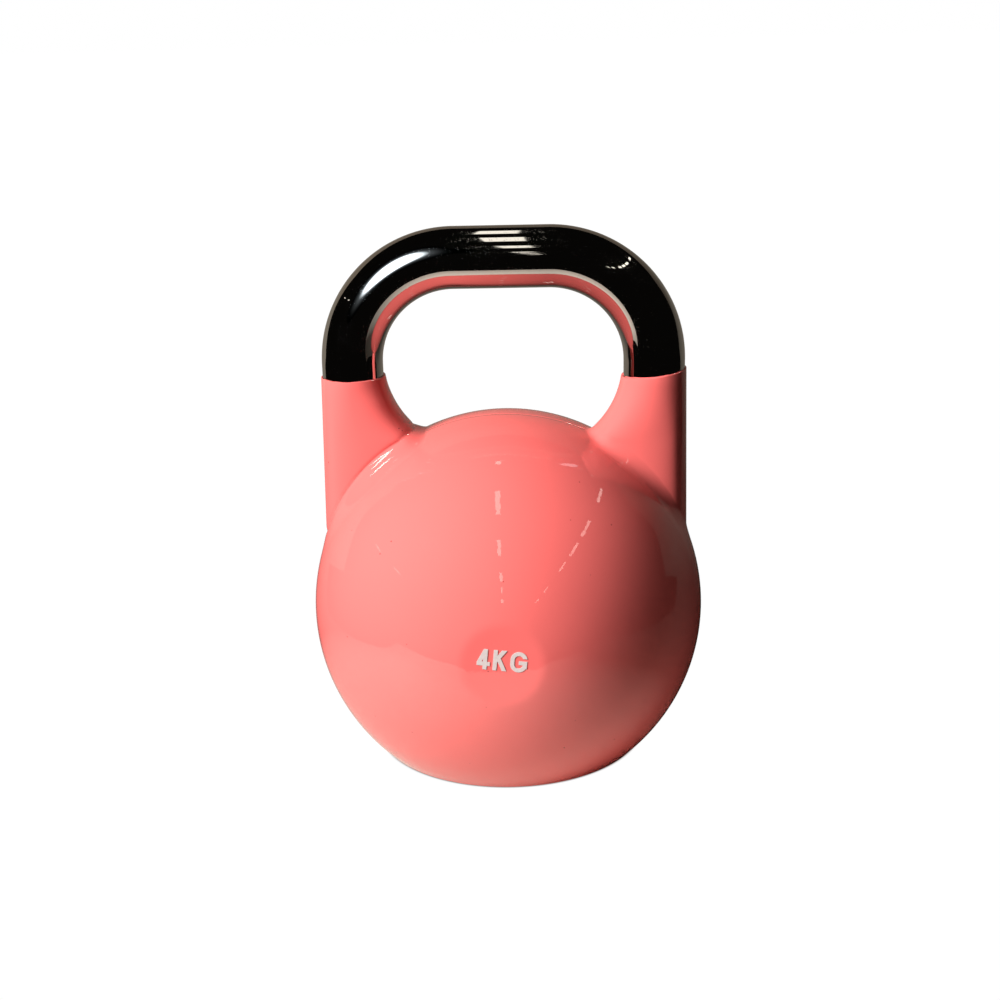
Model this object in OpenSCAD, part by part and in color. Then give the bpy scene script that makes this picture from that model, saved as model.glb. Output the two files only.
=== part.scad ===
// Competition kettlebell, 4 kg. A hollow pressed-steel ball with a flat foot,
// a chromed tube bent into a grip, and a flared horn over each leg.
// Millimetres, +Z up. The origin is the centre of the foot, the grip's bar runs
// along X and the pad with the weight mark faces -Y.

/* [Ball] */
// Outer diameter of the ball
ball_d = 210; // [206:1:214]
// Height of the ball's centre above the floor
centre_h = 76; // [74:1:79]
// Wall thickness of the two pressed halves
shell_t = 2; // [1.6:0.1:2.4]
// Depth of each flat pad below the ball's surface at its middle
pad_depth = 2; // [1.5:0.1:2.5]
// How far each pad looks up, in degrees
pad_tilt = 3; // [0:0.5:5]
// Width of the backing strips inside the weld between the halves
strip_w = 14; // [10:1:18]
// Thickness of the backing strips
strip_t = 1.5; // [1:0.1:2]

/* [Grip] */
// Height of the top of the grip above the floor
total_h = 280; // [277:1:283]
// Outer diameter of the tube
grip_d = 32; // [31:0.5:33]
// Wall thickness of the tube
grip_t = 2.5; // [2:0.1:3.5]
// Distance between the axes of the legs
leg_spacing = 158; // [156:0.5:159]
// Length of the straight bar between the bends
bar_len = 49; // [45:1:53]
// Height of the legs' lower ends, inside the ball
leg_end_h = 113; // [111:1:115]

/* [Horns] */
// How far a horn stands proud of the tube at its rim
horn_skin = 0.8; // [0.5:0.1:1.5]
// Outward lean of a horn's walls, in degrees
horn_draft = 0.7; // [0:0.1:1]
// Height of the horns' rims on the axes of the legs
rim_h = 203; // [200:1:206]
// Slant of the left horn's rim, in degrees
rim_slant_left = 0; // [-8:1:8]
// Slant of the right horn's rim, which rises outwards, in degrees
rim_slant_right = 7; // [-8:1:8]
// Radius of the curve that flares a horn towards the window
flare_r = 48; // [44:1:52]
// Height above the floor at which the flare begins
flare_top = 207.5; // [205:0.5:209]
// Height of the fillet on a horn's front and back walls
fillet_rise = 8; // [5:0.5:9]
// Reach of that fillet out over the ball
fillet_run = 10; // [6:0.5:12]
// Size of the fillet on a horn's outer and inner ends
end_fillet = 3; // [2:0.5:4]
// Thickness of the doubler plates round the legs, inside the ball
doubler_t = 2; // [1.5:0.1:2.5]
// Radius of each doubler plate
doubler_r = 34; // [32:0.5:36]

/* [Foot and weight] */
// Thickness of the base plate
base_t = 2.5; // [2:0.1:4]
// Outer diameter of the filler boss
boss_d = 34; // [30:1:38]
// Height of the filler boss
boss_h = 14; // [12:1:16]
// Diameter of the boss's thread
thread_d = 20; // [18:1:22]
// Length of the filler plug
plug_len = 8; // [6:1:9]
// Width across the flats of the plug's hexagon socket
socket_af = 10; // [6:1:12]
// Outer diameter of the ballast ring
ballast_d = 130; // [110:1:134]
// Inner diameter of the ballast ring
ballast_hole_d = 50; // [48:1:60]
// Thickness of the ballast ring
ballast_t = 7.8; // [4:0.1:12]

/* [Weight mark] */
// Height of the characters
mark_h = 10.4; // [8:0.1:12]
// Width of their strokes
mark_stroke = 2; // [1.4:0.1:2.2]
// How far the mark stands out of the pad
mark_t = 0.3; // [0.2:0.05:0.6]
// Height of the mark's middle above the pad's middle
mark_up = 2.5; // [0:0.1:4]
// Turn of the mark on the pad, clockwise, in degrees
mark_turn = 6; // [0:1:10]

/* [Hidden] */
$fn = 96;
coral = "lightcoral";
chrome = "silver";
steel = "slategray";
big = 400;                                 // larger than the whole object
weld_gap = 0.1;                            // between the base plate and the shell
slip_gap = 0.05;                           // round a tube or a plug in its hole
ball_r = ball_d / 2;
inner_r = ball_r - shell_t;
pad_plane = ball_r - pad_depth;            // from the ball's centre to a pad
foot_hole_r = sqrt(inner_r ^ 2 - centre_h ^ 2);
grip_r = grip_d / 2;
leg_x = leg_spacing / 2;
bar_h = total_h - grip_r;                  // height of the bar's axis
bend_r = leg_x - bar_len / 2;              // radius of the bends' centreline
bend_h = bar_h - bend_r;                   // height at which the legs begin
leg_hole_r = grip_r + slip_gap;
// Direction of each doubler's middle, from the vertical
doubler_angle = (asin((leg_x - grip_r) / inner_r) + asin((leg_x + grip_r) / inner_r)) / 2;
doubler_span = asin(doubler_r / inner_r);
strip_gap = 2;                             // degrees between a strip and what it ends at
foot_angle = 90 + asin((centre_h - base_t) / inner_r) - strip_gap;
boss_flange_r = boss_d / 2 + 5;
boss_flange_t = 3;
seat_h = boss_h - 4;                       // height of the shoulder in the boss
seat_hole_r = thread_d / 2 - 4;
seal_t = 1;
mark_gap = 1.4;                            // between two characters
four_w = 6.4;
k_w = 7;
g_w = 8.2;

// ---- horn surface -------------------------------------------------------
// A horn's cross-section is a slot shape: the leg's own circle joined to a
// circle that has moved towards the window. A place on its edge is [a, s]:
// the angle of its outward normal, and how much of the move it has made.
arc_steps = 12;
wall_steps = 5;
horn_spots = concat(
    [for (i = [0:arc_steps]) [-90 + 180 * i / arc_steps, 0]],
    [for (i = [1:wall_steps - 1]) [90, i / wall_steps]],
    [for (i = [0:arc_steps]) [90 + 180 * i / arc_steps, 1]],
    [for (i = [1:wall_steps - 1]) [270, 1 - i / wall_steps]]);
horn_top = flare_top + 1;                  // the loft's top, above the rim's cut
horn_rings = 8;
fillet_rings = 7;
toe_sink = 0.6;                            // how far the fillet's toe dips into the ball
flare_part = 0.75;                         // share of its radius that the flare's curve uses

function flare(z) = let (drop = min(max(flare_top - z, 0), flare_r * flare_part))
    flare_r - sqrt(flare_r ^ 2 - drop ^ 2);
function wall_r(z) = grip_r + horn_skin + (rim_h - z) * tan(horn_draft);
function wall_at(p, z) = [leg_x - p[1] * flare(z) + wall_r(z) * cos(p[0]),
                          wall_r(z) * sin(p[0]), z];
function on_ball(x, y, r) = [x, y, centre_h + sqrt(r ^ 2 - x ^ 2 - y ^ 2)];
// Height at which the wall under spot p meets the ball, by repeated substitution
function foot_z(p, z, n) = let (w = wall_at(p, z))
    n == 0 ? z : foot_z(p, on_ball(w[0], w[1], ball_r)[2], n - 1);
function end_to_wall(a, end_size, wall_size) = end_size + (wall_size - end_size) * sin(a) ^ 2;
function bend3(a, b, c, t) = (1 - t) ^ 2 * a + 2 * t * (1 - t) * b + t ^ 2 * c;
function horn_column(p) =
    let (corner_z = foot_z(p, centre_h + ball_r * 0.8, 14),
         corner = wall_at(p, corner_z),
         crease_z = corner_z + end_to_wall(p[0], end_fillet, fillet_rise),
         crease = wall_at(p, crease_z),
         run = end_to_wall(p[0], end_fillet, fillet_run),
         toe = on_ball(corner[0] + run * cos(p[0]), corner[1] + run * sin(p[0]),
                       ball_r - toe_sink),
         middle = [0, 0, centre_h])
    concat([for (i = [0:horn_rings - 1])
                wall_at(p, horn_top + (crease_z - horn_top) * i / horn_rings)],
           [for (i = [0:fillet_rings]) bend3(crease, corner, toe, i / fillet_rings)],
           [middle + (toe - middle) * 0.9]);

module horn_loft() {
    columns = [for (p = horn_spots) horn_column(p)];
    n = len(columns);
    m = len(columns[0]);
    points = concat([for (c = columns) each c], [[leg_x * 0.9, 0, centre_h + ball_r * 0.5]]);
    sides = [for (i = [0:n - 1]) for (j = [0:m - 2])
        [i * m + j, ((i + 1) % n) * m + j, ((i + 1) % n) * m + j + 1, i * m + j + 1]];
    top = [[for (i = [n - 1:-1:0]) i * m]];
    bottom = [for (i = [0:n - 1]) [i * m + m - 1, ((i + 1) % n) * m + m - 1, n * m]];
    polyhedron(points, concat(sides, top, bottom), convexity = 4);
}

// ---- shared shapes ------------------------------------------------------
module at_ball() {
    translate([0, 0, centre_h]) children();
}

module beyond_pad(distance) {
    rotate([-pad_tilt, 0, 0])
        translate([-big / 2, -distance - big, -big / 2])
            cube(big);
}

module padded_ball(radius, pad_distance) {
    difference() {
        sphere(radius);
        beyond_pad(pad_distance);
        rotate([0, 0, 180]) beyond_pad(pad_distance);
    }
}

module leg_hole(side) {
    translate([side * leg_x, 0, centre_h])
        cylinder(h = total_h, r = leg_hole_r);
}

// The front half of the ball. The rear half is the same pressing, turned round.
module shell_half() {
    difference() {
        at_ball() padded_ball(ball_r, pad_plane);
        at_ball() padded_ball(inner_r, pad_plane - shell_t);
        translate([-big / 2, 0, -big / 2]) cube(big);
        translate([-big / 2, -big / 2, -big]) cube(big);
        leg_hole(-1);
        leg_hole(1);
    }
}

// Strip against the inside of the weld, between two angles from the vertical
module seam_strip(from, to) {
    at_ball()
        rotate([0, -90 + to, 0])
            rotate([90, 0, 0])
                rotate_extrude(angle = to - from)
                    intersection() {
                        difference() {
                            circle(inner_r);
                            circle(inner_r - strip_t);
                        }
                        translate([inner_r / 2, -strip_w / 2]) square([inner_r, strip_w]);
                    }
}

module leg_doubler(side) {
    difference() {
        at_ball() intersection() {
            sphere(inner_r);
            rotate([0, side * doubler_angle, 0]) cylinder(h = big, r = doubler_r);
        }
        at_ball() sphere(inner_r - doubler_t);
        leg_hole(side);
    }
}

module bent_bar(radius, leg_bottom) {
    translate([0, 0, bar_h])
        rotate([0, 90, 0])
            cylinder(h = bar_len, r = radius, center = true);
    for (side = [0, 1])
        mirror([side, 0, 0]) {
            translate([bar_len / 2, 0, bend_h])
                rotate([90, 0, 0])
                    rotate_extrude(angle = 90)
                        translate([bend_r, 0]) circle(radius);
            translate([leg_x, 0, leg_bottom])
                cylinder(h = bend_h - leg_bottom, r = radius);
        }
}

module horn(side, slant) {
    difference() {
        mirror([side < 0 ? 1 : 0, 0, 0]) horn_loft();
        translate([side * leg_x, 0, rim_h])
            rotate([0, -side * slant, 0])
                translate([-big / 2, -big / 2, 0])
                    cube(big);
        at_ball() sphere(ball_r);
        leg_hole(side);
    }
}

// ---- weight mark --------------------------------------------------------
module stroke(from, to) {
    run = to - from;
    translate(from)
        rotate(atan2(run[1], run[0]))
            translate([0, -mark_stroke / 2])
                square([norm(run), mark_stroke]);
}

module character_four() {
    half = mark_stroke / 2;
    bar_y = mark_h * 0.28;
    stem_x = four_w * 0.62;
    translate([stem_x - half, 0]) square([mark_stroke, mark_h]);
    translate([0, bar_y - half]) square([four_w, mark_stroke]);
    difference() {
        stroke([half * 0.8, bar_y], [stem_x, mark_h - half * 0.3]);
        translate([stem_x, 0]) square([four_w, mark_h * 2]);
        translate([-four_w, mark_h]) square(four_w * 2);
    }
}

module character_k() {
    half = mark_stroke / 2;
    knee = [half, mark_h * 0.42];
    square([mark_stroke, mark_h]);
    intersection() {
        union() {
            stroke(knee, [k_w - half, mark_h + half]);
            stroke([k_w * 0.4, mark_h * 0.55], [k_w - half * 0.8, -half]);
        }
        square([k_w + half, mark_h]);
    }
}

module character_g() {
    r = g_w / 2;
    bar_y = mark_h * 0.46;
    difference() {
        g_slot(r);
        g_slot(r - mark_stroke);
        translate([r, bar_y]) square([g_w, mark_h * 0.22]);
    }
    translate([g_w - mark_stroke, mark_stroke]) square([mark_stroke, bar_y - mark_stroke / 2]);
    translate([r, bar_y - mark_stroke / 2]) square([r, mark_stroke]);
}

// Upright slot shape with ends of radius r, on the middle of the letter G
module g_slot(r) {
    x = g_w / 2;
    low = g_w / 2;
    high = mark_h - g_w / 2;
    translate([x, low]) circle(r);
    translate([x, high]) circle(r);
    translate([x - r, low]) square([2 * r, high - low]);
}

module mark_outline() {
    total_w = four_w + k_w + g_w + 2 * mark_gap;
    translate([-total_w / 2, -mark_h / 2]) {
        character_four();
        translate([four_w + mark_gap, 0]) character_k();
        translate([four_w + k_w + 2 * mark_gap, 0]) character_g();
    }
}

// ---- sub-parts ----------------------------------------------------------
module front_shell() {
    color(coral) shell_half();
}

module rear_shell() {
    color(coral) rotate([0, 0, 180]) shell_half();
}

module seam_strip_top() {
    edge = doubler_angle - doubler_span - strip_gap;
    color(steel) seam_strip(-edge, edge);
}

module seam_strip_left() {
    edge = doubler_angle + doubler_span + strip_gap;
    color(steel) seam_strip(-foot_angle, -edge);
}

module seam_strip_right() {
    edge = doubler_angle + doubler_span + strip_gap;
    color(steel) seam_strip(edge, foot_angle);
}

module base_plate() {
    color(coral) difference() {
        cylinder(h = base_t, r = foot_hole_r - weld_gap);
        translate([0, 0, -1]) cylinder(h = base_t + 2, r = boss_d / 2 + slip_gap);
    }
}

module grip_tube() {
    color(chrome) difference() {
        bent_bar(grip_r, leg_end_h);
        bent_bar(grip_r - grip_t, leg_end_h - 1);
    }
}

module horn_left() {
    color(coral) horn(-1, rim_slant_left);
}

module horn_right() {
    color(coral) horn(1, rim_slant_right);
}

module leg_doubler_left() {
    color(steel) leg_doubler(-1);
}

module leg_doubler_right() {
    color(steel) rotate([0, 0, 180]) leg_doubler(-1);
}

module filler_boss() {
    color(steel) difference() {
        union() {
            cylinder(h = boss_h, d = boss_d);
            translate([0, 0, base_t]) cylinder(h = boss_flange_t, r = boss_flange_r);
        }
        translate([0, 0, -1]) cylinder(h = seat_h + 1, d = thread_d);
        cylinder(h = boss_h + 1, r = seat_hole_r);
    }
}

module filler_plug() {
    plug_top = seat_h - seal_t;
    socket_depth = plug_len * 0.6;
    color(steel) translate([0, 0, plug_top - plug_len]) difference() {
        cylinder(h = plug_len, r = thread_d / 2 - slip_gap);
        translate([0, 0, -1])
            cylinder(h = socket_depth + 1, d = socket_af / cos(30), $fn = 6);
    }
}

module plug_seal() {
    color("dimgray") translate([0, 0, seat_h - seal_t]) difference() {
        cylinder(h = seal_t, r = thread_d / 2 - 2 * slip_gap);
        translate([0, 0, -1]) cylinder(h = seal_t + 2, r = seat_hole_r);
    }
}

module ballast_ring() {
    color("dimgray") translate([0, 0, base_t]) difference() {
        cylinder(h = ballast_t, d = ballast_d);
        translate([0, 0, -1]) cylinder(h = ballast_t + 2, d = ballast_hole_d);
    }
}

module weight_mark() {
    color("white") at_ball()
        rotate([-pad_tilt, 0, 0])
            translate([0, -pad_plane, mark_up])
                rotate([90, 0, 0])
                    rotate([0, 0, -mark_turn])
                        linear_extrude(mark_t)
                            mark_outline();
}

front_shell();
rear_shell();
seam_strip_top();
seam_strip_left();
seam_strip_right();
base_plate();
grip_tube();
horn_left();
horn_right();
leg_doubler_left();
leg_doubler_right();
filler_boss();
filler_plug();
plug_seal();
ballast_ring();
weight_mark();
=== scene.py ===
"""Competition kettlebell: looks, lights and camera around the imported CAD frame.

Metres, +Z up, origin at the centre of the foot. The pad with the weight mark faces -Y.
"""

import math

import bmesh
import bpy
import numpy as np
from mathutils import Matrix, Vector


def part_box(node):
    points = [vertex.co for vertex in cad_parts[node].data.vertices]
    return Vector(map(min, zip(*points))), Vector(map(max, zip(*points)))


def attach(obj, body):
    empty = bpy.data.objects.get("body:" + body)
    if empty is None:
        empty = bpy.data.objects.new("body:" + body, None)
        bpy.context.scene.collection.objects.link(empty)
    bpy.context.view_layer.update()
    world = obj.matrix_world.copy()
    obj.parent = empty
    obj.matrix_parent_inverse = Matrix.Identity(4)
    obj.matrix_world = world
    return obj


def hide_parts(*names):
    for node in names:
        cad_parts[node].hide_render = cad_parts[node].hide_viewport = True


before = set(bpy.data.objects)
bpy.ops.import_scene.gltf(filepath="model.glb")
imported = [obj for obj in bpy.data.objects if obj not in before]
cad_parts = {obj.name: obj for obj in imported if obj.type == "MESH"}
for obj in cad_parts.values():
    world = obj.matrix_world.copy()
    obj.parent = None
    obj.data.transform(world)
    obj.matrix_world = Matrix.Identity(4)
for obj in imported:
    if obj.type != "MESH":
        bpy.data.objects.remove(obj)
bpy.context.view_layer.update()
MM = 0.001

# ---- sizes, as the CAD has them ------------------------------------------
BALL_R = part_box("front_shell")[1].x
CENTRE = Vector((0, 0, 76 * MM))
SHELL_T = 2 * MM
PAD_PLANE = 103 * MM
PAD_TILT = math.radians(3)
GRIP_R = 16 * MM
GRIP_T = 2.5 * MM
LEG_X = 79 * MM
BAR_LEN = 49 * MM
BAR_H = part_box("grip_tube")[1].z - GRIP_R
LEG_END_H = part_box("grip_tube")[0].z
BEND_R = LEG_X - BAR_LEN / 2
PLATE_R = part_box("base_plate")[1].x
LEG_HOLE_R = GRIP_R + 0.05 * MM


# ---- mesh helpers --------------------------------------------------------
def mesh_object(name, points, faces):
    """A smooth-shaded mesh object from points in metres."""
    mesh = bpy.data.meshes.new(name)
    mesh.from_pydata([tuple(p) for p in points], [], [tuple(f) for f in faces])
    mesh.update()
    piece = bpy.data.objects.new(name, mesh)
    bpy.context.scene.collection.objects.link(piece)
    mesh.shade_smooth()
    return piece


def grid_faces(rows, columns, wrap_rows=False, wrap_columns=True):
    """Quads of a grid whose points are stored row by row."""
    faces = []
    for i in range(rows if wrap_rows else rows - 1):
        for j in range(columns if wrap_columns else columns - 1):
            a = i * columns
            b = (i + 1) % rows * columns
            k = (j + 1) % columns
            faces.append((a + j, a + k, b + k, b + j))
    return faces


def outward(piece):
    """Turns all faces of a closed mesh outwards."""
    b = bmesh.new()
    b.from_mesh(piece.data)
    bmesh.ops.recalc_face_normals(b, faces=b.faces)
    b.to_mesh(piece.data)
    b.free()


def bake_modifiers(piece):
    """Puts the result of the piece's modifiers in its mesh."""
    graph = bpy.context.evaluated_depsgraph_get()
    mesh = bpy.data.meshes.new_from_object(piece.evaluated_get(graph))
    piece.modifiers.clear()
    piece.data = mesh
    mesh.shade_smooth()


# ---- ball ----------------------------------------------------------------
PAD_SOFTNESS = 0.45 * MM
FOOT_BEVEL = 0.9 * MM
BALL_RINGS = 110
BALL_SPOKES = 320


def soft_min(a, b, k):
    """The smaller of a and b, blended where they are within k of each other."""
    h = np.clip(0.5 + 0.5 * (b - a) / k, 0, 1)
    return b + (a - b) * h - k * h * (1 - h)


def ball_surface(direction):
    """Distance from the ball's centre to its outside, for unit directions in rows."""
    radius = np.full(len(direction), BALL_R)
    for side in (-1, 1):
        axis = np.array([0, side * math.cos(PAD_TILT), math.sin(PAD_TILT)])
        facing = np.maximum(direction @ axis, 0.2)
        radius = soft_min(radius, PAD_PLANE / facing, PAD_SOFTNESS)
    return radius


def shell_skin(name, side):
    """One half of the ball, side -1 in front or 1 behind, as a closed thin shell."""
    polar = np.linspace(0, math.pi / 2, BALL_RINGS + 1)[1:]
    around = np.linspace(0, 2 * math.pi, BALL_SPOKES, endpoint=False)
    t, a = np.meshgrid(polar, around, indexing="ij")
    ways = np.stack([np.sin(t) * np.cos(a), side * np.cos(t), np.sin(t) * np.sin(a)], -1)
    ways = np.concatenate([[[0, side, 0]], ways.reshape(-1, 3)])
    points = ways * ball_surface(ways)[:, None] + np.array(CENTRE)
    fan = [(0, 1 + j, 1 + (j + 1) % BALL_SPOKES) for j in range(BALL_SPOKES)]
    quads = [tuple(k + 1 for k in f) for f in grid_faces(BALL_RINGS, BALL_SPOKES)]
    skin = mesh_object(name, points, fan + quads)
    trim_foot(skin)
    solid = skin.modifiers.new("wall", "SOLIDIFY")
    solid.thickness = SHELL_T
    solid.offset = -1
    solid.use_quality_normals = True
    cutters = [leg_cutter(x) for x in (-LEG_X, LEG_X)]
    for cutter in cutters:
        cut = skin.modifiers.new("leg_hole", "BOOLEAN")
        cut.operation = "DIFFERENCE"
        cut.solver = "EXACT"
        cut.object = cutter
    bake_modifiers(skin)
    for cutter in cutters:
        bpy.data.objects.remove(cutter)
    return skin


def trim_foot(skin):
    """Cuts the ball off above the floor, and turns its edge in to meet the base plate."""
    b = bmesh.new()
    b.from_mesh(skin.data)
    bmesh.ops.recalc_face_normals(b, faces=b.faces)
    outwards = sum((f.calc_center_median() - CENTRE).dot(f.normal) for f in b.faces) > 0
    if not outwards:
        bmesh.ops.reverse_faces(b, faces=b.faces)
    every = b.verts[:] + b.edges[:] + b.faces[:]
    bmesh.ops.bisect_plane(b, geom=every, plane_co=(0, 0, FOOT_BEVEL),
                           plane_no=(0, 0, -1), clear_outer=True)
    rim = [e for e in b.edges if e.is_boundary
           and all(abs(v.co.z - FOOT_BEVEL) < 1e-6 for v in e.verts)]
    rim_r = math.sqrt(BALL_R ** 2 - (CENTRE.z - FOOT_BEVEL) ** 2)
    steps = [(rim_r - FOOT_BEVEL * (0.25 + 0.9 * (1 - math.cos(s))),
              FOOT_BEVEL * (1 - math.sin(s))) for s in np.linspace(0.4, math.pi / 2, 4)]
    steps.append((PLATE_R + 0.05 * MM, 0))
    for radius, height in steps:
        made = bmesh.ops.extrude_edge_only(b, edges=rim)["geom"]
        rim = [e for e in made if isinstance(e, bmesh.types.BMEdge)]
        for v in {v for e in rim for v in e.verts}:
            flat = Vector((v.co.x, v.co.y)).normalized() * radius
            v.co = (flat.x, flat.y, height)
    bmesh.ops.recalc_face_normals(b, faces=b.faces)
    b.to_mesh(skin.data)
    b.free()


def leg_cutter(x):
    """Round bar through the top of the ball, where a leg of the grip goes in."""
    sides = 96
    turn = np.linspace(0, 2 * math.pi, sides, endpoint=False)
    ring = np.stack([x + LEG_HOLE_R * np.cos(turn), LEG_HOLE_R * np.sin(turn)], -1)
    points = [(p[0], p[1], z) for z in (CENTRE.z, CENTRE.z + BALL_R) for p in ring]
    faces = grid_faces(2, sides) + [tuple(range(sides)), tuple(range(sides, 2 * sides))]
    cutter = mesh_object("leg_cutter", points, faces)
    outward(cutter)
    return cutter


# ---- grip ----------------------------------------------------------------
TUBE_SIDES = 112
BEND_STEPS = 90
STRAIGHT_STEP = 3 * MM


def grip_path():
    """Points and directions along the grip's centreline, in the XZ plane, left to right."""
    bend_h = BAR_H - BEND_R
    leg = np.arange(LEG_END_H, bend_h, STRAIGHT_STEP)
    half = [((LEG_X, z), (0, 1)) for z in leg]
    for s in np.linspace(0, math.pi / 2, BEND_STEPS + 1):
        place = (BAR_LEN / 2 + BEND_R * math.cos(s), bend_h + BEND_R * math.sin(s))
        half.append((place, (-math.sin(s), math.cos(s))))
    bar = np.arange(BAR_LEN / 2 - STRAIGHT_STEP, 0, -STRAIGHT_STEP)
    half += [((x, BAR_H), (-1, 0)) for x in bar]
    right = [(np.array(p), np.array(d, float)) for p, d in half]
    left = [(p * (-1, 1), d * (1, -1)) for p, d in right]
    return [(p, -d) for p, d in left] + [(p, -d) for p, d in reversed(right)]


def tube_rings(path, radius):
    turn = np.linspace(0, 2 * math.pi, TUBE_SIDES, endpoint=False)
    points = []
    for (x, z), (dx, dz) in path:
        for a in turn:
            side = radius * math.sin(a)
            out = radius * math.cos(a)
            points.append((x - out * dz, side, z + out * dx))
    return points


def grip_skin():
    """The bent tube, with its wall and its open lower ends."""
    path = grip_path()
    rows = len(path)
    outer = tube_rings(path, GRIP_R)
    inner = tube_rings(path, GRIP_R - GRIP_T)
    n = rows * TUBE_SIDES
    faces = grid_faces(rows, TUBE_SIDES)
    faces += [tuple(n + k for k in reversed(f)) for f in grid_faces(rows, TUBE_SIDES)]
    for row in (0, rows - 1):
        for j in range(TUBE_SIDES):
            k = (j + 1) % TUBE_SIDES
            a = row * TUBE_SIDES
            faces.append((a + j, a + k, n + a + k, n + a + j))
    skin = mesh_object("grip_skin", outer + inner, faces)
    outward(skin)
    sharpen(skin, 60)
    return skin


def sharpen(piece, degrees):
    """Keeps edges sharper than this crisp under smooth shading."""
    b = bmesh.new()
    b.from_mesh(piece.data)
    for e in b.edges:
        e.smooth = e.calc_face_angle(0) < math.radians(degrees)
    b.to_mesh(piece.data)
    b.free()


# ---- horns ---------------------------------------------------------------
HORN_SKIN = 0.8 * MM
HORN_DRAFT = {-1: math.tan(math.radians(1.25)), 1: math.tan(math.radians(0.7))}
HORN_SPREAD = {-1: 0.05, 1: 0.0}
HORN_SQUARE = {-1: 2.5, 1: 2.0}
SQUARE_FROM_RIM = 12 * MM
RIM_H = 203 * MM
RIM_SLANT = {-1: 0.0, 1: math.radians(7)}
FLARE_R = 48 * MM
FLARE_TOP = 207.5 * MM
FLARE_PART = 0.75
FILLET_RISE = {-1: 8 * MM, 1: 9 * MM}
FILLET_RUN = {-1: 13 * MM, 1: 8 * MM}
END_FILLET = 3 * MM
CREASE = {-1: 0.6, 1: 0.1}
SECTION_STEPS = 132
TURN_FROM = math.radians(50)
WALL_ROWS = 44
FILLET_ROWS = 22
GROOVE = {-1: 0.45 * MM, 1: 0.0}
GROOVE_WIDTH = 1.4 * MM
GROOVE_SHARE = 0.12
ROW_CROWDING = 0.6
TUCK = 0.3 * MM
TUCK_FLOOR = 0.5 * MM
TUCK_RUN = 0.6 * MM
RIM_LIP = 0.35 * MM
RAG = 0.12 * MM


def horn_spots():
    """Places round a horn's long rounded section: an angle, and the share of the flare there."""
    spots = []
    for a in np.linspace(-math.pi, math.pi, SECTION_STEPS, endpoint=False):
        t = np.clip((abs(a) - TURN_FROM) / (math.pi - 2 * TURN_FROM), 0, 1)
        spots.append((a, t * t * (3 - 2 * t)))
    return spots


def flare(z):
    """How far a horn's inner side has swept in at this height."""
    drop = min(max(FLARE_TOP - z, 0), FLARE_R * FLARE_PART)
    return FLARE_R - math.sqrt(FLARE_R ** 2 - drop ** 2)


def wall_at(spot, z, side):
    """Point on the wall of the left horn, side -1, or the right one, as if both were at +X."""
    angle, share = spot
    inward = share * flare(z)
    r = GRIP_R + HORN_SKIN + (RIM_H - z) * HORN_DRAFT[side] + inward * HORN_SPREAD[side]
    c = math.cos(angle)
    s = math.sin(angle)
    if c < 0:
        power = 2 + (HORN_SQUARE[side] - 2) * min(max((RIM_H - z) / SQUARE_FROM_RIM, 0), 1)
        r /= (abs(c) ** power + abs(s) ** power) ** (1 / power)
    return np.array([LEG_X - inward + r * c, r * s, z])


def on_ball(x, y, r=BALL_R):
    """Point above x, y on the upper half of a ball of radius r about CENTRE."""
    return np.array([x, y, CENTRE.z + math.sqrt(r ** 2 - x ** 2 - y ** 2)])


def wall_foot(spot, side):
    """Point where the wall under a spot meets the ball."""
    z = CENTRE.z + 0.8 * BALL_R
    for _ in range(16):
        w = wall_at(spot, z, side)
        z = on_ball(w[0], w[1])[2]
    return wall_at(spot, z, side)


def end_to_wall(angle, end_size, wall_size):
    """A size that changes from the section's ends to its long sides."""
    return end_size + (wall_size - end_size) * math.sin(angle) ** 2


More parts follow.
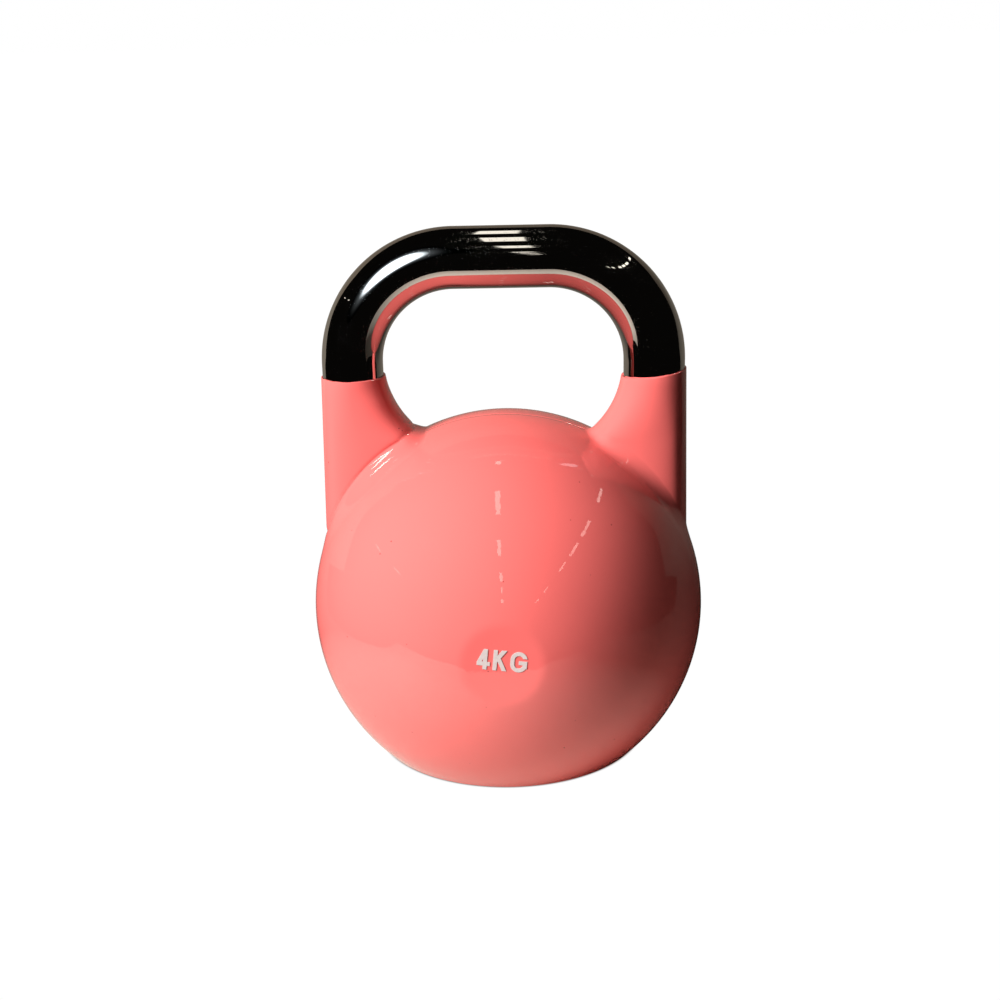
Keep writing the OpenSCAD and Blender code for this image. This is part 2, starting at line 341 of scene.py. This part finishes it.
def horn_column(spot, side):
    """Points of one slice of a horn: up the bore, over the rim, down the wall and fillet."""
    angle = spot[0]
    foot = wall_foot(spot, side)
    rise = end_to_wall(angle, END_FILLET, FILLET_RISE[side])
    crease = wall_at(spot, foot[2] + rise, side)
    run = end_to_wall(angle, END_FILLET, FILLET_RUN[side])
    way = np.array([math.cos(angle), math.sin(angle)])
    toe = on_ball(*(foot[:2] + run * way))
    up = (toe - np.array(CENTRE)) / BALL_R
    # where the wall's line meets the plane that touches the ball at the toe
    corner = foot.copy()
    corner[2] += float((toe - foot) @ up) / up[2]
    corner = corner + CREASE[side] * (toe - corner)
    bore_angle = math.atan2(foot[1], foot[0] - LEG_X)
    bore = np.array([LEG_X + LEG_HOLE_R * math.cos(bore_angle), LEG_HOLE_R * math.sin(bore_angle)])
    bore_foot = on_ball(*bore, BALL_R - TUCK)
    # the paint's edge wanders a little round the leg
    ragged = RAG * (math.sin(5 * angle + side) + 0.6 * math.sin(11 * angle + 2) +
                    0.5 * math.sin(23 * angle + 4 * side))
    rim = RIM_H + (wall_at(spot, RIM_H, side)[0] - LEG_X) * math.tan(RIM_SLANT[side]) + ragged
    column = []
    for t in np.linspace(0, 1, 6):
        column.append(np.array([*bore, bore_foot[2] + (rim - 0.1 * MM - bore_foot[2]) * t]))
    edge = wall_at(spot, rim - RIM_LIP, side)
    inner = np.array([*bore, rim])
    column.append(inner + 0.4 * (np.array([edge[0], edge[1], rim]) - inner))
    middle = edge - RIM_LIP * np.array([way[0], way[1], 0])
    for s in np.linspace(math.pi / 2, 0, 5)[:-1]:
        lip = RIM_LIP * np.array([way[0] * math.cos(s), way[1] * math.cos(s), math.sin(s)])
        column.append(middle + lip)
    inwards = -np.array([way[0], way[1], 0])
    for t in np.linspace(0, 1, WALL_ROWS) ** ROW_CROWDING:
        height = edge[2] + (crease[2] - edge[2]) * t
        sunk = GROOVE[side] * math.exp(-((height - crease[2]) / GROOVE_WIDTH) ** 2)
        column.append(wall_at(spot, height, side) + sunk * inwards)
    for t in np.linspace(0, 1, FILLET_ROWS)[1:]:
        sunk = GROOVE[side] * math.exp(-(t / GROOVE_SHARE) ** 2)
        place = (1 - t) ** 2 * crease + 2 * t * (1 - t) * corner + t ** 2 * toe
        column.append(place + sunk * inwards)
    tuck = on_ball(*(toe[:2] + TUCK_RUN * way), BALL_R - TUCK)
    column.append(tuck)
    for t in (0.25, 0.5, 0.75):
        flat = tuck[:2] + (bore_foot[:2] - tuck[:2]) * t
        column.append(on_ball(*flat, BALL_R - TUCK_FLOOR))
    return column


def horn_skin(name, side):
    columns = [horn_column(spot, side) for spot in horn_spots()]
    points = [p * (side, 1, 1) for c in columns for p in c]
    rows = len(columns[0])
    skin = mesh_object(name, points, grid_faces(len(columns), rows, wrap_rows=True))
    outward(skin)
    sharpen(skin, 75)
    return skin


# ---- materials -----------------------------------------------------------
class Nodes:
    """A material's node tree, with short calls for what every material here uses."""

    def __init__(self, name):
        self.material = bpy.data.materials.new(name)
        self.material.use_nodes = True
        self.tree = self.material.node_tree
        self.shader = self.tree.nodes["Principled BSDF"]
        self.coords = self.add("ShaderNodeTexCoord").outputs["Object"]

    def add(self, kind, **settings):
        made = self.tree.nodes.new(kind)
        for key, value in settings.items():
            setattr(made, key, value)
        return made

    def link(self, source, target):
        self.tree.links.new(source, target)

    def set(self, **values):
        for key, value in values.items():
            self.shader.inputs[key.replace("_", " ")].default_value = value

    def noise(self, scale, detail=2.0, rough=0.5, stretch=None):
        made = self.add("ShaderNodeTexNoise")
        made.inputs["Scale"].default_value = scale
        made.inputs["Detail"].default_value = detail
        made.inputs["Roughness"].default_value = rough
        place = self.coords
        if stretch:
            mapping = self.add("ShaderNodeMapping")
            mapping.inputs["Scale"].default_value = stretch
            self.link(place, mapping.inputs["Vector"])
            place = mapping.outputs["Vector"]
        self.link(place, made.inputs["Vector"])
        return made.outputs["Fac"]

    def reach(self, place):
        """Distance from this place."""
        made = self.add("ShaderNodeVectorMath", operation="DISTANCE")
        made.inputs[1].default_value = place
        self.link(self.coords, made.inputs[0])
        return made.outputs["Value"]

    def ramp(self, value, low, high, out_low=0.0, out_high=1.0):
        """value from low..high to out_low..out_high, clamped."""
        made = self.add("ShaderNodeMapRange")
        made.inputs["From Min"].default_value = low
        made.inputs["From Max"].default_value = high
        made.inputs["To Min"].default_value = out_low
        made.inputs["To Max"].default_value = out_high
        self.link(value, made.inputs["Value"])
        return made.outputs["Result"]

    def math(self, operation, a, b):
        made = self.add("ShaderNodeMath", operation=operation)
        for socket, value in zip(made.inputs, (a, b)):
            if isinstance(value, (int, float)):
                socket.default_value = value
            else:
                self.link(value, socket)
        return made.outputs["Value"]

    def mix(self, fac, a, b):
        """Colour mix; a and b are colours or sockets."""
        made = self.add("ShaderNodeMix", data_type="RGBA")
        self.link(fac, made.inputs["Factor"])
        for key, value in (("A", a), ("B", b)):
            socket = [s for s in made.inputs if s.name == key and s.type == "RGBA"][0]
            if isinstance(value, tuple):
                socket.default_value = (*value, 1)
            else:
                self.link(value, socket)
        return [s for s in made.outputs if s.type == "RGBA"][0]

    def bump(self, height, distance, strength=1.0, under=None):
        made = self.add("ShaderNodeBump")
        made.inputs["Distance"].default_value = distance
        made.inputs["Strength"].default_value = strength
        self.link(height, made.inputs["Height"])
        if under is not None:
            self.link(under, made.inputs["Normal"])
        return made.outputs["Normal"]

    def specks(self, scale, size):
        """1 inside small scattered spots, 0 elsewhere."""
        cells = self.add("ShaderNodeTexVoronoi", feature="F1")
        cells.inputs["Scale"].default_value = scale
        self.link(self.coords, cells.inputs["Vector"])
        return self.ramp(cells.outputs["Distance"], size, size * 0.6)


def coral_paint():
    n = Nodes("coral_paint")
    base = n.mix(n.noise(14, 2), (0.86, 0.150, 0.137), (0.88, 0.160, 0.146))
    nib = n.specks(170, 0.075)
    rare = n.ramp(n.noise(60, 1), 0.60, 0.63)
    dirt = n.math("MULTIPLY", nib, rare)
    base = n.mix(dirt, base, (0.30, 0.045, 0.040))
    n.link(base, n.shader.inputs["Base Color"])
    n.link(n.ramp(n.noise(35, 4), 0.3, 0.7, 0.20, 0.30), n.shader.inputs["Roughness"])
    n.set(Specular_IOR_Level=0.0, Coat_Weight=1.0, Coat_Roughness=0.02, Coat_IOR=1.6)
    peel = n.bump(n.noise(420, 1.5), 0.00002, 0.5)
    sag = n.bump(n.noise(40, 2), 0.0002, 0.25, under=peel)
    lumps = n.bump(dirt, 0.0001, 0.6, under=sag)
    n.link(lumps, n.shader.inputs["Normal"])
    n.link(lumps, n.shader.inputs["Coat Normal"])
    return n.material


def polished_chrome():
    n = Nodes("polished_chrome")
    colour = n.mix(n.noise(25, 2), (0.42, 0.405, 0.385), (0.46, 0.445, 0.425))
    n.link(colour, n.shader.inputs["Base Color"])
    grains = n.add("ShaderNodeTexVoronoi", feature="F1")
    grains.inputs["Scale"].default_value = 3200
    n.link(n.coords, grains.inputs["Vector"])
    parts = n.add("ShaderNodeSeparateColor")
    n.link(grains.outputs["Color"], parts.inputs["Color"])
    worn = n.ramp(n.noise(60, 3), 0.38, 0.68, 0.995, 0.91)
    hazy = n.math("GREATER_THAN", parts.outputs["Red"], worn)
    rough = n.math("MAXIMUM", n.ramp(n.noise(90, 2), 0.3, 0.7, 0.015, 0.04),
                   n.math("MULTIPLY", hazy, n.ramp(parts.outputs["Green"], 0, 1, 0.10, 0.25)))
    n.link(rough, n.shader.inputs["Roughness"])
    n.set(Metallic=1.0)
    n.link(n.bump(n.noise(45, 1), 0.0003, 0.015), n.shader.inputs["Normal"])
    return n.material


def white_enamel():
    n = Nodes("white_enamel")
    tone = n.mix(n.ramp(n.noise(900, 3), 0.35, 0.65), (0.60, 0.515, 0.49), (0.65, 0.56, 0.535))
    n.link(tone, n.shader.inputs["Base Color"])
    n.link(n.ramp(n.noise(600, 2), 0.3, 0.7, 0.30, 0.45), n.shader.inputs["Roughness"])
    n.link(n.bump(n.noise(1200, 2), 0.00003, 0.5), n.shader.inputs["Normal"])
    return n.material


def bare_steel():
    n = Nodes("bare_steel")
    grain = n.noise(500, 3, 0.6, stretch=(0.1, 1, 1))
    tone = n.mix(n.ramp(grain, 0.35, 0.65), (0.30, 0.30, 0.31), (0.46, 0.46, 0.47))
    rust = n.ramp(n.noise(45, 5, 0.65), 0.58, 0.66)
    n.link(n.mix(rust, tone, (0.16, 0.075, 0.04)), n.shader.inputs["Base Color"])
    n.link(n.ramp(rust, 0, 1, 0.38, 0.8), n.shader.inputs["Roughness"])
    n.link(n.ramp(rust, 0, 1, 1.0, 0.2), n.shader.inputs["Metallic"])
    n.link(n.bump(grain, 0.00005, 0.4), n.shader.inputs["Normal"])
    return n.material


def turned_steel():
    n = Nodes("turned_steel")
    rings = n.add("ShaderNodeTexWave", wave_type="RINGS", rings_direction="Z")
    rings.inputs["Scale"].default_value = 700
    n.link(n.coords, rings.inputs["Vector"])
    cut = rings.outputs["Fac"]
    tone = n.mix(n.ramp(n.noise(200, 3), 0.3, 0.7), (0.44, 0.44, 0.45), (0.58, 0.58, 0.58))
    n.link(tone, n.shader.inputs["Base Color"])
    n.link(n.ramp(cut, 0, 1, 0.22, 0.36), n.shader.inputs["Roughness"])
    n.set(Metallic=1.0)
    n.link(n.bump(cut, 0.00003, 0.5), n.shader.inputs["Normal"])
    return n.material


def seal_rubber():
    n = Nodes("seal_rubber")
    tone = n.mix(n.ramp(n.noise(800, 3), 0.3, 0.7), (0.018, 0.018, 0.018), (0.04, 0.04, 0.04))
    n.link(tone, n.shader.inputs["Base Color"])
    n.link(n.ramp(n.noise(500, 2), 0.3, 0.7, 0.6, 0.8), n.shader.inputs["Roughness"])
    n.link(n.bump(n.noise(1500, 2), 0.00003, 0.5), n.shader.inputs["Normal"])
    return n.material


def cast_iron():
    n = Nodes("cast_iron")
    sand = n.noise(600, 4, 0.6)
    tone = n.mix(n.ramp(sand, 0.35, 0.65), (0.055, 0.053, 0.05), (0.12, 0.115, 0.11))
    n.link(tone, n.shader.inputs["Base Color"])
    n.link(n.ramp(sand, 0.3, 0.7, 0.55, 0.75), n.shader.inputs["Roughness"])
    n.set(Metallic=0.7)
    n.link(n.bump(sand, 0.0003, 0.6), n.shader.inputs["Normal"])
    return n.material


def coat(piece, material):
    piece.data.materials.clear()
    piece.data.materials.append(material)


# ---- pieces --------------------------------------------------------------
paint = coral_paint()
chrome = polished_chrome()
steel = bare_steel()
SKINS = [
    (shell_skin("ball_front", -1), "front_shell", paint, "coral_paint"),
    (shell_skin("ball_rear", 1), "rear_shell", paint, "coral_paint"),
    (horn_skin("horn_skin_left", -1), "horn_left", paint, "coral_paint"),
    (horn_skin("horn_skin_right", 1), "horn_right", paint, "coral_paint"),
    (grip_skin(), "grip_tube", chrome, "chrome"),
]
for piece, node, material, slot in SKINS:
    coat(piece, material)
    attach(piece, "root")
    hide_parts(node)

CAD_LOOKS = {
    "base_plate": paint,
    "weight_mark": white_enamel(),
    "seam_strip_top": steel,
    "seam_strip_left": steel,
    "seam_strip_right": steel,
    "leg_doubler_left": steel,
    "leg_doubler_right": steel,
    "filler_boss": steel,
    "filler_plug": turned_steel(),
    "plug_seal": seal_rubber(),
    "ballast_ring": cast_iron(),
}
for node, material in CAD_LOOKS.items():
    coat(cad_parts[node], material)


# ---- camera --------------------------------------------------------------
CAMERA_PLACE = Vector((0.0280, -0.7879, 0.3787))
CAMERA_RIGHT = Vector((0.9992, 0.0325, -0.0228))
CAMERA_UP = Vector((0.0121, 0.2978, 0.9546))
CAMERA_LENS = 55.24


def make_camera():
    data = bpy.data.cameras.new("camera")
    data.lens = CAMERA_LENS
    data.sensor_width = 36
    camera = bpy.data.objects.new("camera", data)
    right = CAMERA_RIGHT.normalized()
    back = right.cross(CAMERA_UP).normalized()
    up = back.cross(right)
    turn = Matrix((right, up, back)).transposed()
    camera.matrix_world = Matrix.Translation(CAMERA_PLACE) @ turn.to_4x4()
    bpy.context.scene.collection.objects.link(camera)
    bpy.context.scene.camera = camera


# ---- stage and lights ----------------------------------------------------
# the key lights the paint but isn't reflected in it; KEY_LEVEL is the brightness that it gives
# a white surface at the ball's place which faces it
KEY_AZIMUTH = -54
KEY_ELEVATION = 32
KEY_AWAY = 2.0
KEY_SIZE = 0.9
KEY_LEVEL = 2.35
# height of the ceiling over the ball's centre; its lamps' places and sizes are in parts of it
CEILING = 2.4
STRIP_SIZE = (0.042, 0.28)
STRIP_RADIANCE = 3.5
# rows of strips: how far across the row is, and how far back each strip is
STRIP_ROWS = {"middle": (-0.065, (0.40, -0.23, -0.85, -1.52, -2.05, -2.75)),
              "right": (0.95, (0.33, -0.30, -0.71, -1.14, -2.0, -2.75)),
              "left": (-2.45, (0.20, -0.77))}
# strips that only light the grip: how far across and back each is
GRIP_ROW = ((-0.036, 0.31), (-0.031, -0.28), (-0.031, -1.0), (-0.043, -2.2), (-0.043, -2.9),
            (-0.043, -3.8))
GRIP_STRIP_SIZE = (0.036, 0.30)
GRIP_STRIP_RADIANCE = 2.2
FAR_PLACE = (0.51, 0.535)
FAR_SIZE = (0.14, 0.12)
FAR_RADIANCE = 30.0
# the softbox that the grip reflects: azimuth, elevation and distance, half sizes, and its roll
SOFTBOX_PLACE = (-32.5, 32, 1.5)
SOFTBOX_HALF = (0.37, 0.42)
SOFTBOX_TURN = math.radians(20)
SOFTBOX_RADIANCE = 5.0
SOFTBOX_SIDES = 48
HALO_REACH = 1.8
HALO_RADIANCE = 0.30
# slim lamps seen only as glints on the horns: the azimuth and elevation of both ends from
# GLINT_FROM, the width in degrees and the radiance
GLINT_AWAY = 2.5
GLINT_STEPS = 8
GLINT_FROM = {-1: (-0.060, -0.021, 0.162), 1: (0.055, -0.0155, 0.169)}
GLINTS = {-1: (((-98, 30), (-78, 54), 1.5, 14.0),
               ((-97, 48), (-95, 55), 1.0, 9.0),
               ((-108, 45), (-121, 48), 1.5, 9.0)),
          1: (((-50, 23), (-5, 25), 8.0, 14.0),)}
FLOOR_HALF = 30.0
FLOOR_DROP = 0.2 * MM
FOOT_R = 72.5 * MM
CONTACT_SHADE = 1.5 * MM
# the sweep's outline from its front edge to its back edge, as depth and height, and the left
# and right ends of its front edge, as x and y
SHEET_PROFILE = [(0, 0.025), (0.03, 0.012), (0.06, 0.003), (0.10, 0.0), (0.42, 0.0),
                 (0.50, 0.07), (0.53, 0.125), (0.575, 0.21), (0.665, 0.31), (0.705, 0.38),
                 (0.72, 0.66)]
SHEET_ENDS = {-1: (-0.35, -0.24), 1: (0.50, -0.33)}
SHEET_BACK = 0.43
SHEET_DROP = 2 * MM
# its raised back part is wider than its floor, by this much on each side
SHEET_WIDENING = 0.40
WIDE_ABOVE = 0.1
# centres of its painted pools of light: as it is reflected, and as it lights the ball
SHEET_PAINTED_LIGHT_SEEN = (-0.11, -0.23, 0)
SHEET_PAINTED_LIGHT_BOUNCE = (0.06, -0.10, 0)


def aim(thing, place, target):
    thing.location = place
    way = Vector(target) - Vector(place)
    thing.rotation_euler = way.to_track_quat("-Z", "Y").to_euler()


def area_light(name, place, target, size, radiance, colour=(1, 1, 1)):
    """Rectangular light of this radiance; size is its width and height."""
    data = bpy.data.lights.new(name, "AREA")
    data.shape = "RECTANGLE"
    data.size, data.size_y = size
    data.energy = radiance * math.pi * size[0] * size[1]
    data.color = colour
    light = bpy.data.objects.new(name, data)
    aim(light, place, target)
    bpy.context.scene.collection.objects.link(light)
    return light


def toward(azimuth, elevation, distance, origin=CENTRE):
    """Point seen from the origin at this azimuth, counted from -Y towards +X."""
    a = math.radians(azimuth)
    e = math.radians(elevation)
    way = Vector((math.sin(a) * math.cos(e), -math.cos(a) * math.cos(e), math.sin(e)))
    return Vector(origin) + way * distance


def paper_sweep():
    """The small paper sweep that the paint and chrome reflect; the camera doesn't see it. Its
    colour is painted light and shade.
    """
    full_depth = SHEET_PROFILE[-1][0]
    points = []
    for depth, z in SHEET_PROFILE:
        widening = SHEET_WIDENING if z > WIDE_ABOVE else 0
        for side, (x, front) in SHEET_ENDS.items():
            y = front + depth * (SHEET_BACK - front) / full_depth
            points.append((x + side * widening, y, z - SHEET_DROP))
    faces = grid_faces(len(SHEET_PROFILE), 2, wrap_columns=False)
    sheet = mesh_object("paper_sweep", points, faces)
    n = Nodes("sweep_paper_painted_light")
    place = n.add("ShaderNodeSeparateXYZ")
    n.link(n.coords, place.inputs["Vector"])
    height = place.outputs["Z"]
    # as seen in the paint and the chrome: a painted pool of key light on the key's side, painted
    # shadow on the low floor behind the ball and painted falloff up the back
    painted_key_light_paper = n.mix(n.noise(9, 3), (0.84, 0.78, 0.68), (0.88, 0.81, 0.71))
    # painted shadow of the ball on the low floor behind it, a little lighter up the wall
    low = n.mix(n.ramp(height, 0.03, 0.12), (0.07, 0.06, 0.05), (0.17, 0.15, 0.125))
    # painted falloff of the key light at the top of the back wall
    back = n.mix(n.ramp(height, 0.30, 0.42), low, (0.14, 0.115, 0.09))
    # painted pool of key light in the middle, painted shade farther out
    seen = n.mix(n.ramp(n.reach(SHEET_PAINTED_LIGHT_SEEN), 0.11, 0.35), painted_key_light_paper, back)
    # as it lights the ball: a painted pool of bounce light beside the foot, painted shade farther
    # out
    painted_bounce_light = n.mix(n.ramp(n.reach(SHEET_PAINTED_LIGHT_BOUNCE), 0.04, 0.17), (0.64, 0.585, 0.52),
                    (0.05, 0.045, 0.04))
    # diffuse rays get the painted bounce light, reflected rays the painted light above: two
    # differently lit copies of one paper
    diffuse = n.add("ShaderNodeLightPath").outputs["Is Diffuse Ray"]
    n.link(n.mix(diffuse, seen, painted_bounce_light), n.shader.inputs["Base Color"])
    n.set(Roughness=0.9)
    coat(sheet, n.material)
    sheet.visible_camera = False
    return sheet


def white_floor():
    """The floor that the camera sees: white, with a painted contact shadow where the ball meets
    it.
    """
    points = [(x * FLOOR_HALF, y * FLOOR_HALF, 0) for x, y in ((-1, -1), (1, -1), (1, 1), (-1, 1))]
    floor = mesh_object("floor", points, [(0, 1, 2, 3)])
    n = Nodes("floor_white")
    away = n.add("ShaderNodeVectorMath", operation="LENGTH")
    n.link(n.coords, away.inputs["Vector"])
    # painted contact shadow: 0 at the foot's edge, 1 a little way out
    clear_of_painted_shadow = n.ramp(away.outputs["Value"], FOOT_R, FOOT_R + CONTACT_SHADE)
    clear_of_painted_shadow = n.math("POWER", clear_of_painted_shadow, 0.45)
    paper = n.mix(n.noise(3, 2), (1.0, 1.0, 1.0), (1.02, 1.02, 1.02))
    glow = n.add("ShaderNodeEmission")
    # the painted contact shadow turns the white to this dark tone at the foot's edge
    n.link(n.mix(clear_of_painted_shadow, (0.22, 0.16, 0.15), paper), glow.inputs["Color"])
    n.link(glow.outputs["Emission"], n.tree.nodes["Material Output"].inputs["Surface"])
    n.material.cycles.emission_sampling = "NONE"
    coat(floor, n.material)
    floor.location.z = -FLOOR_DROP
    floor.visible_glossy = False
    floor.visible_diffuse = False
    floor.visible_shadow = False


def link_light(light, receivers, name):
    group = bpy.data.collections.new(name)
    for thing in receivers:
        group.objects.link(thing)
    light.light_linking.receiver_collection = group


def make_world():
    """Dark room for reflections, white behind everything that the camera sees."""
    world = bpy.data.worlds.new("room")
    bpy.context.scene.world = world
    world.use_nodes = True
    tree = world.node_tree
    tree.nodes.clear()
    seen = tree.nodes.new("ShaderNodeLightPath")
    dark = tree.nodes.new("ShaderNodeBackground")
    dark.inputs["Color"].default_value = (1.0, 0.9, 0.8, 1)
    dark.inputs["Strength"].default_value = 0.004
    white = tree.nodes.new("ShaderNodeBackground")
    white.inputs["Color"].default_value = (1.0, 1.0, 1.0, 1)
    white.inputs["Strength"].default_value = 1.0
    mix = tree.nodes.new("ShaderNodeMixShader")
    out = tree.nodes.new("ShaderNodeOutputWorld")
    tree.links.new(seen.outputs["Is Camera Ray"], mix.inputs["Fac"])
    tree.links.new(dark.outputs["Background"], mix.inputs[1])
    tree.links.new(white.outputs["Background"], mix.inputs[2])
    tree.links.new(mix.outputs["Shader"], out.inputs["Surface"])


def ceiling_lamp(name, place, size, radiance, receivers):
    """Lamp facing down; its place and size are in parts of the ceiling's height."""
    at = CENTRE + Vector((*place, 1)) * CEILING
    size = (size[0] * CEILING, size[1] * CEILING)
    lamp = area_light(name, at, at - Vector((0, 0, 1)), size, radiance, (1.0, 0.95, 0.86))
    link_light(lamp, receivers, f"lit_by_{name}")


def glowing(piece, colour, strength, receivers):
    """Makes a piece a lamp that only shows as reflections in its receivers."""
    n = Nodes(piece.name)
    glow = n.add("ShaderNodeEmission")
    glow.inputs["Color"].default_value = (*colour, 1)
    n.link(strength(n), glow.inputs["Strength"])
    n.link(glow.outputs["Emission"], n.tree.nodes["Material Output"].inputs["Surface"])
    coat(piece, n.material)
    piece.visible_camera = False
    piece.visible_diffuse = False
    piece.visible_shadow = False
    link_light(piece, receivers, f"lit_by_{piece.name}")


def glint_lamp(name, side, lamp, receivers):
    """Slim lamp that tapers to a point at both ends."""
    start, end, width, radiance = lamp
    along = Vector(end) - Vector(start)
    across = Vector((-along.y, along.x)).normalized() * width / 2
    steps = np.linspace(0, math.pi, GLINT_STEPS + 1)

    def edge(a, sign):
        way = Vector(start) + along * a / math.pi + sign * across * math.sin(a)
        return toward(*way, GLINT_AWAY, GLINT_FROM[side])

    points = [edge(a, 1) for a in steps] + [edge(a, -1) for a in steps[-2:0:-1]]
    piece = mesh_object(name, points, [tuple(range(len(points)))])
    glowing(piece, (1.0, 0.96, 0.9),
            lambda n: n.ramp(n.noise(2, 2), 0.3, 0.7, 0.9 * radiance, 1.1 * radiance), receivers)


def softbox(receivers):
    """Oval softbox with a soft rim and a faint halo."""
    turn = np.linspace(0, 2 * math.pi, SOFTBOX_SIDES, endpoint=False)
    half_x, half_y = (HALO_REACH * half for half in SOFTBOX_HALF)
    points = [(half_x * math.cos(a), half_y * math.sin(a), 0) for a in turn]
    box = mesh_object("softbox", points, [tuple(range(len(points)))])
    aim(box, toward(*SOFTBOX_PLACE), CENTRE)
    box.rotation_euler = (box.rotation_euler.to_matrix()
                          @ Matrix.Rotation(SOFTBOX_TURN, 3, "Z")).to_euler()

    def strength(n):
        oval = n.add("ShaderNodeVectorMath", operation="DIVIDE")
        oval.inputs[1].default_value = (*SOFTBOX_HALF, 1)
        n.link(n.coords, oval.inputs[0])
        away = n.add("ShaderNodeVectorMath", operation="LENGTH")
        n.link(oval.outputs["Vector"], away.inputs["Vector"])
        core = n.math("POWER", n.ramp(away.outputs["Value"], 1.15, 0.85), 2)
        halo = n.math("POWER", n.ramp(away.outputs["Value"], HALO_REACH, 1.0), 3)
        return n.math("ADD", n.math("MULTIPLY", core, SOFTBOX_RADIANCE),
                      n.math("MULTIPLY", halo, HALO_RADIANCE))

    glowing(box, (0.80, 0.91, 1.0), strength, receivers)


def skins_of(cad_node):
    """The skins that stand for this CAD node."""
    return [piece for piece, node, material, slot in SKINS if node == cad_node]


def make_lights(sheet):
    bell = [piece for piece, node, material, slot in SKINS]
    bell += [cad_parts[node] for node in CAD_LOOKS]
    place = toward(KEY_AZIMUTH, KEY_ELEVATION, KEY_AWAY)
    radiance = KEY_LEVEL * math.pi * KEY_AWAY ** 2 / KEY_SIZE ** 2
    key = area_light("key", place, CENTRE, (KEY_SIZE, KEY_SIZE), radiance)
    key.visible_glossy = False
    grip = skins_of("grip_tube")
    body = [piece for piece in bell if piece not in grip] + [sheet]
    softbox(grip)
    for side, horn in ((-1, "horn_left"), (1, "horn_right")):
        for k, lamp in enumerate(GLINTS[side]):
            glint_lamp(f"glint_{horn}_{k}", side, lamp, skins_of(horn))
    for k, place in enumerate(GRIP_ROW):
        ceiling_lamp(f"grip_{k}", place, GRIP_STRIP_SIZE, GRIP_STRIP_RADIANCE, grip)
    for name, (across, places) in STRIP_ROWS.items():
        receivers = body if name == "middle" else bell + [sheet]
        for k, back in enumerate(places):
            ceiling_lamp(f"{name}_{k}", (across, back), STRIP_SIZE, STRIP_RADIANCE, receivers)
    ceiling_lamp("far", FAR_PLACE, FAR_SIZE, FAR_RADIANCE, body)


make_camera()
make_world()
white_floor()
make_lights(paper_sweep())
bpy.context.scene.view_settings.view_transform = "Standard"
